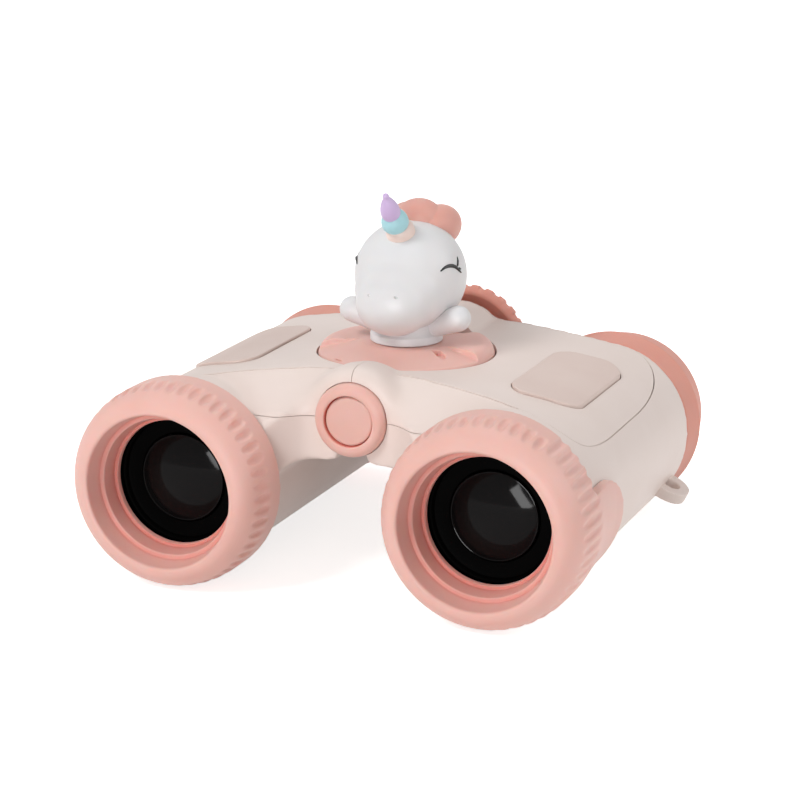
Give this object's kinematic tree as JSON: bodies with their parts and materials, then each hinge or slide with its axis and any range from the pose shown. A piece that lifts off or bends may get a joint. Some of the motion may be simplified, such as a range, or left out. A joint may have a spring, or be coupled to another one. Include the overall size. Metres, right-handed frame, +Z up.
{
  "type": "toy binoculars",
  "caption": "Child's folding binoculars with a centre hinge, coral objective rings and eyecups, a ribbed focus wheel and a small horned pony figure on a twist dial.",
  "frame": {"origin": "middle of the overall box at the level of the objective rings' underside", "axes": "+X across the barrels to the user's right, +Y along the barrels from the objectives to the eyecups, +Z up"},
  "size_m": [0.1086, 0.097, 0.0758],
  "materials": {
    "cream_plastic": "satin moulded",
    "pad_plastic": "satin moulded",
    "coral_plastic": "satin moulded",
    "coral_rubber": "matte",
    "black_plastic": "satin",
    "lens_glass": "coated",
    "nylon": "satin",
    "steel": "plain",
    "white_vinyl": "satin",
    "horn_cream": "satin",
    "horn_cyan": "satin",
    "horn_lilac": "satin"
  },
  "bodies": {
    "spine": {"spine": "nylon", "hinge_cap": "coral_plastic", "hinge_cap_disc": "coral_plastic", "hinge_screw": "steel", "rear_bushing": "nylon"},
    "right_half": {"right_upper_shell": "cream_plastic", "right_lower_shell": "cream_plastic", "right_finger_pad": "pad_plastic", "right_strap_lug": "cream_plastic", "right_objective_ring": "coral_plastic", "right_optics_tube": "black_plastic", "right_objective_lens": "lens_glass", "right_lens_retainer": "black_plastic", "right_eyepiece_housing": "black_plastic", "right_ocular_lens": "lens_glass", "right_eyecup": "coral_rubber", "right_front_knuckle": "nylon", "right_rear_knuckle": "nylon", "right_case_screw_1": "steel", "right_case_screw_2": "steel"},
    "left_half": {"left_upper_shell": "cream_plastic", "left_lower_shell": "cream_plastic", "left_finger_pad": "pad_plastic", "left_strap_lug": "cream_plastic", "left_objective_ring": "coral_plastic", "left_optics_tube": "black_plastic", "left_objective_lens": "lens_glass", "left_lens_retainer": "black_plastic", "left_eyepiece_housing": "black_plastic", "left_ocular_lens": "lens_glass", "left_eyecup": "coral_rubber", "left_front_knuckle": "nylon", "left_rear_knuckle": "nylon", "left_case_screw_1": "steel", "left_case_screw_2": "steel"},
    "focus_drive": {"focus_wheel": "coral_plastic", "focus_screw": "steel", "wheel_cap": "coral_plastic"},
    "focus_nut": {"focus_nut": "nylon"},
    "right_carriage": {"right_focus_carriage": "black_plastic", "right_focus_lens": "lens_glass"},
    "left_carriage": {"left_focus_carriage": "black_plastic", "left_focus_lens": "lens_glass"},
    "figure": {"dial_base": "coral_plastic", "figure_body": "white_vinyl", "figure_head": "white_vinyl", "left_foreleg": "white_vinyl", "right_foreleg": "white_vinyl", "horn_base": "horn_cream", "horn_middle": "horn_cyan", "horn_tip": "horn_lilac", "mane": "coral_plastic"}
  },
  "joints": [
    {"name": "right_fold", "type": "hinge", "parent": "spine", "child": "right_half", "pos_m": [0, 0, 0.034], "axis": [0, 1, 0], "range_deg": [0, 20]},
    {"name": "left_fold", "type": "hinge", "parent": "spine", "child": "left_half", "pos_m": [0, 0, 0.034], "axis": [0, 1, 0], "range_deg": [-20, 0]},
    {"name": "focus_turn", "type": "hinge", "parent": "spine", "child": "focus_drive", "pos_m": [0, 0, 0.034], "axis": [0, 1, 0], "range_deg": [-140, 140]},
    {"name": "nut_slide", "type": "slide", "parent": "spine", "child": "focus_nut", "axis": [0, 1, 0], "range_m": [-0.0024, 0.0024]},
    {"name": "right_carriage_slide", "type": "slide", "parent": "right_half", "child": "right_carriage", "axis": [0, 1, 0], "range_m": [-0.0024, 0.0024]},
    {"name": "left_carriage_slide", "type": "slide", "parent": "left_half", "child": "left_carriage", "axis": [0, 1, 0], "range_m": [-0.0024, 0.0024]},
    {"name": "figure_twist", "type": "hinge", "parent": "spine", "child": "figure", "pos_m": [0, -0.0002, 0.034], "axis": [0, 0, 1], "range_deg": [-70, 0]}
  ],
  "couplings": [
    {"joint": "left_fold", "follows": "right_fold", "ratio": -1},
    {"joint": "nut_slide", "follows": "focus_turn", "m_per_rad": 0.000955},
    {"joint": "right_carriage_slide", "follows": "focus_turn", "m_per_rad": 0.000955},
    {"joint": "left_carriage_slide", "follows": "focus_turn", "m_per_rad": 0.000955}
  ]
}
